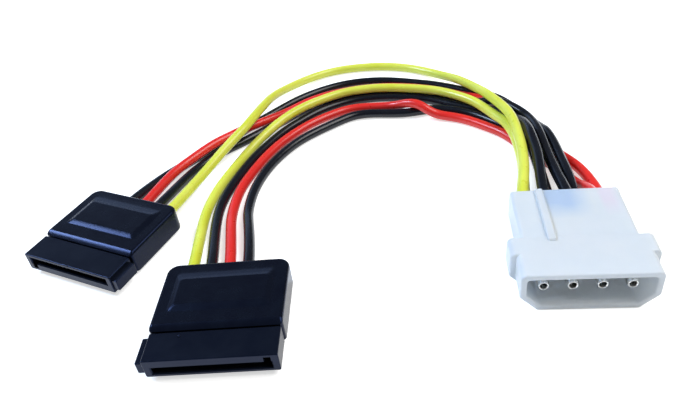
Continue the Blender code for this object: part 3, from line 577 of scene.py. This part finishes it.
def piece(name, mesh, frame, finishes, slot, stands_for):
    """Finished piece of the lead, shaded smooth but for its sharp edges."""
    mesh.name = name
    mesh.materials.clear()
    mesh.materials.append(finishes[slot])
    mesh.shade_smooth()
    mesh.set_sharp_from_angle(angle=SHARP_ANGLE)
    made = add_object(name, mesh)
    made.matrix_world = frame
    shading = made.modifiers.new("even_shading", "WEIGHTED_NORMAL")
    shading.keep_sharp = True
    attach(made, "root")
    if stands_for:
        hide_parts(stands_for)
    return made


# Four-pin housing

def shroud_outline(width, low, high, chamfer, top_radius, inset):
    """Outline with two cut lower corners, drawn in all round by an inset."""
    half = width / 2 - inset
    cut = chamfer - inset * (2 - sqrt(2))
    soft = max(chamfer / 4 - inset, LEAST_RADIUS)
    top = max(top_radius - inset, LEAST_RADIUS)
    low += inset
    high -= inset
    return rounded([(half, low + cut, soft), (half, high, top),
                    (-half, high, top), (-half, low + cut, soft),
                    (-half + cut, low, soft), (half - cut, low, soft)], steps=5)


def pin_positions():
    return [(index - (PIN_COUNT - 1) / 2) * PIN_PITCH for index in range(PIN_COUNT)]


def housing_mesh():
    """Rear body, collar and shroud with rounded edges, joined and then hollowed and bored."""
    def rear(inset):
        return shroud_outline(REAR_WIDTH, REAR_LIFT, REAR_TOP, REAR_CHAMFER, REAR_TOP_RADIUS, inset)

    def collar(inset):
        return shroud_outline(COLLAR_WIDTH, 0, SHROUD_HEIGHT - COLLAR_DROP,
                              SHROUD_CHAMFER, SHROUD_TOP_RADIUS, inset)

    def shroud(inset):
        return shroud_outline(SHROUD_WIDTH, COLLAR_DROP, SHROUD_HEIGHT,
                              SHROUD_CHAMFER, SHROUD_TOP_RADIUS, inset)

    def mating_cavity(inset):
        return shroud_outline(SHROUD_WIDTH - 2 * SHROUD_WALL, SHROUD_WALL, SHROUD_HEIGHT - SHROUD_WALL,
                              SHROUD_CHAMFER - SHROUD_WALL * (2 - sqrt(2)), SHROUD_TOP_RADIUS / 2, inset)

    rear_rings = [ring_y(rear(0), COLLAR_BACK - COLLAR_LAP)]
    rear_rings += [ring_y(rear(inset), HOUSING_LENGTH - back)
                   for back, inset in reversed(round_over(REAR_RADIUS))]
    collar_rings = [ring_y(collar(inset), COLLAR_FRONT + back) for back, inset in round_over(COLLAR_RADIUS)]
    collar_rings += [ring_y(collar(inset), COLLAR_BACK - back)
                     for back, inset in reversed(round_over(COLLAR_RADIUS))]
    shroud_rings = [ring_y(shroud(inset), back) for back, inset in round_over(RIM_RADIUS)]
    shroud_rings.append(ring_y(shroud(0), COLLAR_BACK - COLLAR_LAP / 4))
    hollow_rings = [ring_y(mating_cavity(-RIM_RADIUS), -RIM_RADIUS)]
    hollow_rings += [ring_y(mating_cavity(-inset), back) for back, inset in round_over(RIM_RADIUS)]
    hollow_rings += [ring_y(mating_cavity(inset), SHROUD_DEPTH - back)
                     for back, inset in reversed(round_over(RIM_RADIUS))]

    rib_middle = (pin_positions()[0] + pin_positions()[1]) / 2
    rib_rings = []
    for y, outset in ((KEY_RIB_FRONT, -KEY_RIB_RADIUS),
                      (KEY_RIB_FRONT + KEY_RIB_RADIUS, 0),
                      (HOUSING_LENGTH - 2 * KEY_RIB_RADIUS, 0),
                      (HOUSING_LENGTH - KEY_RIB_RADIUS, -KEY_RIB_RADIUS)):
        rib_half = KEY_RIB_WIDTH / 2 + outset * KEY_RIB_TAPER
        outline = rectangle((rib_middle - rib_half, REAR_TOP - SHROUD_WALL / 2),
                            (rib_middle + rib_half, KEY_RIB_TOP + outset), KEY_RIB_RADIUS, steps=4)
        rib_rings.append(ring_y(outline, y))

    cavities = []
    holes = []
    half_wide = PAIR_SIDE + WIRE_DIAMETER / 2 + FIT_GAP
    half_high = PAIR_RISE + WIRE_DIAMETER / 2 + FIT_GAP
    hole = PIN_DIAMETER / 2 + FIT_GAP
    for x in pin_positions():
        cavity_rings = []
        for y, outset in ((SHROUD_DEPTH + PIN_WALL, 0), (HOUSING_LENGTH - CAVITY_FLARE, 0),
                          (HOUSING_LENGTH + CAVITY_FLARE, 2 * CAVITY_FLARE)):
            outline = rectangle((x - half_wide - outset, PIN_AXIS_HEIGHT - half_high - outset),
                                (x + half_wide + outset, PIN_AXIS_HEIGHT + half_high + outset),
                                WIRE_DIAMETER / 4 + outset, steps=5)
            cavity_rings.append(ring_y(outline, y))
        cavities.append(loft(cavity_rings))
        rim = circle(x, PIN_AXIS_HEIGHT, hole, PIN_SIDES)
        holes.append(loft([ring_y(rim, SHROUD_DEPTH - PIN_WALL), ring_y(rim, SHROUD_DEPTH + 2 * PIN_WALL)]))
    return worked(loft(rear_rings), [("UNION", loft(collar_rings)), ("UNION", loft(shroud_rings)),
                                     ("UNION", loft(rib_rings)), ("DIFFERENCE", loft(hollow_rings)),
                                     ("DIFFERENCE", gather(cavities)), ("DIFFERENCE", gather(holes))])


def turned(profile, start, sweep, squash_from=None):
    """Profile of (radius, y) points turned about +Y from one angle through a sweep, closed at both ends."""
    whole_turn = sweep == 2 * pi
    count = PIN_SIDES if whole_turn else PIN_SIDES + 1
    shape = bmesh.new()
    columns = []
    for step in range(count):
        angle = start + sweep * step / PIN_SIDES
        column = []
        for radius, y in profile:
            flat = CRIMP_SQUASH if squash_from is not None and y >= squash_from else 1.0
            column.append(shape.verts.new((radius * cos(angle), y, radius * sin(angle) * flat)))
        columns.append(column)
    pairs = list(zip(columns, columns[1:]))
    if whole_turn:
        pairs.append((columns[-1], columns[0]))
    else:
        shape.faces.new(columns[0])
        shape.faces.new(columns[-1])
    for column, following in pairs:
        for index in range(len(profile)):
            after = (index + 1) % len(profile)
            shape.faces.new((column[index], column[after], following[after], following[index]))
    bmesh.ops.remove_doubles(shape, verts=shape.verts, dist=MERGE_DISTANCE)
    bmesh.ops.recalc_face_normals(shape, faces=shape.faces)
    mesh = bpy.data.meshes.new("turned")
    shape.to_mesh(mesh)
    shape.free()
    return mesh


def pin_mesh():
    """Pin rolled from sheet, with an open seam and a coned tip, then a stop ring, a neck and a crimp."""
    radius = PIN_DIAMETER / 2
    bore = PIN_BORE / 2
    stop = SHROUD_DEPTH + PIN_WALL + FIT_GAP - PIN_TIP_SETBACK
    neck_end = PIN_LENGTH - CRIMP_LENGTH
    core_radius = bore + PIN_CORE_LAP
    rolled = [(bore, PIN_BORE_DEPTH), (bore, PIN_BORE_BREAK), (bore + PIN_BORE_BREAK, 0)]
    rolled += [(radius * width, PIN_TIP_TAPER * depth) for width, depth in PIN_TIP_PROFILE]
    rolled += [(radius, stop), (bore, stop)]
    core = [(0.0, PIN_BORE_DEPTH), (core_radius, PIN_BORE_DEPTH), (core_radius, stop), (0.0, stop)]
    rear = [(0.0, stop), (PIN_STOP_DIAMETER / 2, stop), (PIN_STOP_DIAMETER / 2, stop + PIN_STOP_LENGTH),
            (PIN_NECK_DIAMETER / 2, stop + PIN_STOP_LENGTH), (PIN_NECK_DIAMETER / 2, neck_end),
            (CRIMP_DIAMETER / 2, neck_end), (CRIMP_DIAMETER / 2, PIN_LENGTH), (0.0, PIN_LENGTH)]
    return gather([turned(rolled, -pi / 2 + PIN_SEAM / 2, 2 * pi - PIN_SEAM),
                   turned(core, 0, 2 * pi),
                   turned(rear, 0, 2 * pi, squash_from=neck_end)])


def make_housing(frame, finishes):
    piece("nylon_housing", housing_mesh(), frame, finishes, "natural_nylon", "four_pin_housing")
    circuits = ("12v", "ground_a", "ground_b", "5v")
    for circuit, x in zip(circuits, pin_positions()):
        place = frame @ Matrix.Translation((x, PIN_TIP_SETBACK, PIN_AXIS_HEIGHT))
        piece(f"rolled_pin_{circuit}", pin_mesh(), place, finishes, "tinned_brass", f"pin_{circuit}")


# Flat drive plugs. In a plug's frame z = 0 is its mid height, the slot lies nearer +Z and 12 V is at +X.

def comb_positions():
    """Middles of the combs from the 12 V end."""
    pitch = CONTACT_PITCH * CONTACTS_PER_COMB
    return [KEY_LEG_WIDTH / 2 + ((COMB_COUNT - 1) / 2 - index) * pitch for index in range(COMB_COUNT)]


def block_mesh():
    """Rear block: rounded edges, a brow over the nose, a pad on each side and a bore for each wire."""
    def plan(back, inset):
        half = PLUG_WIDTH / 2 - inset
        straight = 1 - back / BLOCK_EDGE
        round_share = inset / BLOCK_EDGE
        front = BLOCK_FRONT + BLOCK_BROW * (BROW_FLATNESS * straight + (1 - BROW_FLATNESS) * round_share)
        rear = PLUG_LENGTH - inset
        front_radius = max(BLOCK_FRONT_RADIUS - inset, BLOCK_LEAST_RADIUS)
        back_radius = max(BLOCK_BACK_RADIUS - inset, BLOCK_LEAST_RADIUS)
        return rounded([(half, front, front_radius), (half, rear, back_radius),
                        (-half, rear, back_radius), (-half, front, front_radius)], steps=8)

    half = BLOCK_THICKNESS / 2
    edge = round_over(BLOCK_EDGE, 6)
    rings = [ring_z(plan(back, inset), -half + back) for back, inset in edge]
    rings += [ring_z(plan(back, inset), half - back) for back, inset in reversed(edge)]
    block = loft(rings)

    def pad(side):
        rings = []
        for share, drawn_in in PAD_RINGS:
            scoop = 1 - (1 - max(share, 0)) ** PAD_SCOOP + min(share, 0)
            half_pad = PAD_WIDTH / 2 - PAD_SIDE_SLOPE * share - drawn_in
            outline = rectangle((-half_pad, PAD_FRONT + PAD_FRONT_SLOPE * share + drawn_in),
                                (half_pad, PAD_BACK - PAD_BACK_SLOPE * scoop - drawn_in), PAD_RADIUS, steps=5)
            rings.append(ring_z(outline, side * (half + PAD_HEIGHT * share)))
        return loft(rings)

    reach_x = PLUG_WIDTH / 2 - BLOCK_WALL
    reach_z = TONGUE_THICKNESS / 2 + FIT_GAP
    pocket = box((-reach_x, BLOCK_FRONT - BLOCK_WALL, -reach_z), (reach_x, TONGUE_BACK + FIT_GAP, reach_z))
    bores = []
    for x in comb_positions()[:COMB_COUNT - 1]:
        rings = []
        for y, outset in ((TONGUE_BACK, 0), (PLUG_LENGTH - BORE_FLARE, 0),
                          (PLUG_LENGTH + BORE_FLARE, 2 * BORE_FLARE)):
            bore = WIRE_DIAMETER / 2 + FIT_GAP / 3 + outset
            rings.append(ring_y(circle(x, 0, bore, BORE_SIDES), y))
        bores.append(loft(rings))
    return worked(block, [("UNION", pad(1)), ("UNION", pad(-1)),
                          ("DIFFERENCE", pocket), ("DIFFERENCE", gather(bores))])


def nose_mesh():
    """Insulator: nose with an L-shaped slot, grooves and a side rail, and the tongue that the block grips."""
    half = NOSE_WIDTH / 2
    thick = NOSE_THICKNESS / 2
    back = BLOCK_FRONT - FIT_GAP

    def nose(inset):
        return rectangle((-half + inset, -thick + inset), (half - inset, thick - inset), NOSE_EDGE, steps=4)

    edge = round_over(NOSE_END_RADIUS)
    rings = [ring_y(nose(inset), y) for y, inset in edge]
    rings += [ring_y(nose(inset), back - y) for y, inset in reversed(edge)]
    body = loft(rings)

    rail_high = thick - RAIL_DROP
    rail_rings = []
    for y, inset in ((RAIL_SETBACK, RAIL_END_INSET),
                     (RAIL_SETBACK + RAIL_EDGE, 0),
                     (back - RAIL_SETBACK - RAIL_EDGE, 0),
                     (back - RAIL_SETBACK, RAIL_END_INSET)):
        outline = rectangle((half - RAIL_LAP, -rail_high + inset),
                            (half + RAIL_WIDTH - inset, rail_high - inset), RAIL_EDGE, steps=4)
        rail_rings.append(ring_y(outline, y))

    tongue_x = PLUG_WIDTH / 2 - BLOCK_WALL - FIT_GAP
    tongue = box((-tongue_x, back - NOSE_EDGE, -TONGUE_THICKNESS / 2),
                 (tongue_x, TONGUE_BACK, TONGUE_THICKNESS / 2))

    slot_x = SLOT_WIDTH / 2
    slot_rings = []
    for y, outset in ((-SLOT_FLARE, 2 * SLOT_FLARE), (SLOT_FLARE, 0), (SLOT_DEPTH, 0)):
        outline = [(slot_x + outset, SLOT_FLOOR - outset), (slot_x + outset, SLOT_TOP + outset),
                   (-slot_x - outset, SLOT_TOP + outset), (-slot_x - outset, SLOT_FLOOR - outset)]
        slot_rings.append(ring_y(outline, y))
    leg = box((-slot_x, -2 * SLOT_ROOF, SLOT_FLOOR - KEY_LEG_DEPTH),
              (-slot_x + KEY_LEG_WIDTH, SLOT_DEPTH - FIT_GAP, SLOT_FLOOR + SLOT_HEIGHT / 2))
    grooves = []
    for comb_x in comb_positions():
        for contact in range(CONTACTS_PER_COMB):
            x = comb_x + (contact - (CONTACTS_PER_COMB - 1) / 2) * CONTACT_PITCH
            grooves.append(box((x - GROOVE_WIDTH / 2, GROOVE_FRONT, GROOVE_FLOOR),
                               (x + GROOVE_WIDTH / 2, BAR_FRONT + FIT_GAP, SLOT_FLOOR + SLOT_HEIGHT / 3)))
    seat_half = COMB_COUNT / 2 * CONTACT_PITCH * CONTACTS_PER_COMB
    seat = box((KEY_LEG_WIDTH / 2 - seat_half, BAR_FRONT - COMB_GAP, GROOVE_FLOOR - COMB_GAP / 2),
               (KEY_LEG_WIDTH / 2 + seat_half, TONGUE_BACK + BLOCK_WALL, GROOVE_FLOOR + SHEET + 2 * COMB_GAP))
    return worked(body, [("UNION", loft(rail_rings)), ("UNION", tongue), ("DIFFERENCE", loft(slot_rings)),
                         ("DIFFERENCE", leg), ("DIFFERENCE", gather(grooves)), ("DIFFERENCE", seat)])


def nib_mesh():
    """Low dome left by the mould on the nose's closed side."""
    rings = []
    for step in range(NIB_RINGS):
        turn = pi / 2 * step / NIB_RINGS
        rings.append(ring_z(circle(0, 0, NIB_RADIUS * cos(turn), NIB_SIDES), -NIB_HEIGHT * sin(turn)))
    return loft(rings)


def make_plug(prefix, frame, finishes, nodes):
    piece(f"{prefix}_block", block_mesh(), frame, finishes, "black_vinyl", f"{prefix}_overmould")
    piece(f"{prefix}_nose", nose_mesh(), frame, finishes, "black_nylon", f"{prefix}_insulator")
    nib_frame = frame @ Matrix.Translation((*NIB_PLACE, -NOSE_THICKNESS / 2))
    piece(f"{prefix}_nib", nib_mesh(), nib_frame, finishes, "black_nylon", None)
    for circuit in ("12v", "ground_a", "5v", "ground_b", "3v3"):
        comb = nodes[f"{prefix}_comb_{circuit}"]
        comb.data.materials.clear()
        comb.data.materials.append(finishes["gilt_bronze"])


# Wires

def smooth_points(corners, spacing):
    """Evenly spaced points on the natural cubic spline through the corners."""
    knots = np.array([tuple(corner) for corner in corners])
    steps = np.sqrt(np.linalg.norm(np.diff(knots, axis=0), axis=1))
    slopes = np.diff(knots, axis=0) / steps[:, None]
    system = np.eye(len(knots))
    bends = np.zeros_like(knots)
    for row in range(1, len(knots) - 1):
        system[row, row - 1:row + 2] = steps[row - 1], 2 * (steps[row - 1] + steps[row]), steps[row]
        bends[row] = 6 * (slopes[row] - slopes[row - 1])
    bends = np.linalg.solve(system, bends)
    fine = []
    for index, step in enumerate(steps):
        start = slopes[index] - step * (2 * bends[index] + bends[index + 1]) / 6
        growth = (bends[index + 1] - bends[index]) / (6 * step)
        for t in np.linspace(0, step, SPLINE_STEPS, endpoint=False):
            fine.append(knots[index] + t * start + t ** 2 * bends[index] / 2 + t ** 3 * growth)
    fine.append(knots[-1])
    fine = np.array(fine)
    travelled = np.append(0, np.cumsum(np.linalg.norm(np.diff(fine, axis=0), axis=1)))
    wanted = np.linspace(0, travelled[-1], round(travelled[-1] / spacing) + 1)
    return np.stack([np.interp(wanted, travelled, values) for values in fine.T], axis=1)


def lane_point(line, along, outward, height):
    """Point beside a bundle line, with the lane's offset and height widened as the wires are."""
    spread = MILLIMETRE * (WIRE_DIAMETER + WIRE_GAP) / LANE_SPACING
    position = along * MILLIMETRE / LINE_STEP
    index = min(int(position), len(line) - 2)
    ahead = line[index + 1] - line[index]
    here = line[index] + ahead * (position - index)
    x, y = here + np.array((ahead[1], -ahead[0])) / np.linalg.norm(ahead) * outward * spread
    return Vector((x, y, height * spread))


def make_wires(frames, finishes):
    lines = {}
    for plug, corners in (("left", LEFT_LINE), ("front", FRONT_LINE)):
        lines[plug] = smooth_points(np.array(corners) * MILLIMETRE, LINE_STEP)
    for name, colour, plug, pin, layer, comb, length in WIRES:
        x = pin_positions()[pin] - layer * PAIR_SIDE
        height = PIN_AXIS_HEIGHT + layer * PAIR_RISE
        in_housing = (PIN_TIP_SETBACK + PIN_LENGTH + FIT_GAP, HOUSING_LENGTH - WIRE_GRIP)
        in_plug = (PLUG_LENGTH + WIRE_DIAMETER / 2, PLUG_LENGTH - WIRE_GRIP, COMB_TAIL_BACK + FIT_GAP)
        corners = [frames["housing"] @ Vector((x, y, height)) for y in in_housing]
        corners += [lane_point(lines[plug], *lane) for lane in LANES[name]]
        corners += [frames[plug] @ Vector((comb_positions()[comb], y, 0)) for y in in_plug]

        curve = bpy.data.curves.new(name, "CURVE")
        curve.dimensions = "3D"
        curve.bevel_depth = WIRE_DIAMETER / 2
        curve.bevel_resolution = WIRE_SIDES
        curve.use_fill_caps = True
        points = smooth_points(corners, WIRE_STEP)
        spline = curve.splines.new("POLY")
        spline.points.add(len(points) - 1)
        for point, place in zip(spline.points, points):
            point.co = (*place, 1.0)
        spline.use_smooth = True
        curve.materials.append(finishes[f"{colour}_insulation"])
        lead = add_object(f"{colour}_lead_{name.removeprefix('wire_' + colour + '_')}", curve)
        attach(lead, "root")
        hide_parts(name)


# Studio

def make_camera():
    data = bpy.data.cameras.new("camera")
    data.lens = CAMERA_LENS
    data.clip_start = CAMERA_NEAR
    camera = add_object("camera", data)
    camera.matrix_world = (Matrix.Translation(CAMERA_PLACE) @ Matrix.Rotation(pi / 2 - CAMERA_DOWN, 4, "X")
                           @ Matrix.Rotation(CAMERA_ROLL, 4, "Z"))
    bpy.context.scene.camera = camera


def seen(tree):
    """1 for rays that look at the background: from the camera, off gloss or through clear material."""
    path = tree.nodes.new("ShaderNodeLightPath")
    camera, gloss, clear = [Socket(tree, path.outputs[f"Is {ray} Ray"])
                            for ray in ("Camera", "Glossy", "Transmission")]
    return camera.sum("MAXIMUM", camera, camera.sum("MAXIMUM", gloss, clear))


def make_floor():
    floor_mesh = box((-FLOOR_REACH, -FLOOR_REACH, FLOOR_UNDERSIDE), (FLOOR_REACH, FLOOR_REACH, -FLOOR_DROP))
    paper = bpy.data.materials.new("white_paper")
    paper.use_nodes = True
    tree = paper.node_tree
    shader = tree.nodes["Principled BSDF"]
    shader.inputs["Base Color"].default_value = (*FLOOR_COLOUR, 1.0)
    shader.inputs["Roughness"].default_value = 0.9
    shader.inputs["Specular IOR Level"].default_value = 0.0
    glow = seen(tree)
    tree.links.new((glow * FLOOR_GLOW).output, shader.inputs["Emission Strength"])
    shader.inputs["Emission Color"].default_value = (*FLOOR_GLOW_COLOUR, 1.0)
    floor_mesh.materials.append(paper)
    add_object("floor", floor_mesh)


def make_lamp(name, place, width, height, power, colour):
    data = bpy.data.lights.new(name, "AREA")
    data.shape = "RECTANGLE"
    data.size = width
    data.size_y = height
    data.energy = power
    data.color = colour
    lamp = add_object(name, data)
    aim = (Vector(LAMP_TARGET) - Vector(place)).to_track_quat("-Z", "Y")
    lamp.matrix_world = Matrix.Translation(place) @ aim.to_matrix().to_4x4()


def make_light():
    world = bpy.data.worlds.new("soft_room")
    world.use_nodes = True
    bpy.context.scene.world = world
    background = world.node_tree.nodes["Background"]
    background.inputs["Color"].default_value = (*ROOM_COLOUR, 1.0)
    background.inputs["Strength"].default_value = ROOM_STRENGTH
    for lamp in LAMPS:
        make_lamp(*lamp)


def on_table(place, height, turned_over=False):
    """Frame of a connector that lies on the table, either way up."""
    x, y, turn = place
    over = Matrix.Rotation(pi if turned_over else 0, 4, "Y")
    return Matrix.Translation((x, y, height)) @ Matrix.Rotation(turn, 4, "Z") @ over


def make_finishes():
    return {
        "natural_nylon": natural_nylon(),
        "tinned_brass": plated("tinned_brass", (0.82, 0.82, 0.80), (0.62, 0.60, 0.56), 0.20, 0.0003),
        "black_vinyl": black_moulding("black_vinyl", (0.0035, 0.0045, 0.009), (0.005, 0.007, 0.012), 0.20),
        "black_nylon": black_moulding("black_nylon", (0.0035, 0.005, 0.010), (0.006, 0.008, 0.013), 0.24),
        "gilt_bronze": plated("gilt_bronze", (0.86, 0.64, 0.30), (0.74, 0.52, 0.24), 0.20, 0.0003),
        "yellow_insulation": insulation("yellow_insulation", (0.80, 0.84, 0.11), (0.70, 0.74, 0.05)),
        "black_insulation": insulation("black_insulation", (0.004, 0.005, 0.010), (0.007, 0.009, 0.014),
                                       roughness=0.20, level=0.36),
        "red_insulation": insulation("red_insulation", (0.83, 0.030, 0.022), (0.76, 0.022, 0.018)),
    }


def main():
    for old in list(bpy.data.objects):
        bpy.data.objects.remove(old, do_unlink=True)
    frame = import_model()
    bpy.context.scene.view_settings.view_transform = "Standard"

    frames = {
        "housing": on_table(HOUSING_PLACE, 0),
        "left": on_table(LEFT_PLUG_PLACE, PLUG_MID_HEIGHT),
        "front": on_table(FRONT_PLUG_PLACE, PLUG_MID_HEIGHT, turned_over=True),
    }
    finishes = make_finishes()

    make_camera()
    make_wires(frames, finishes)
    make_housing(frames["housing"], finishes)
    for prefix in ("left", "front"):
        make_plug(prefix, frames[prefix], finishes, frame["nodes"])
    make_floor()
    make_light()


main()
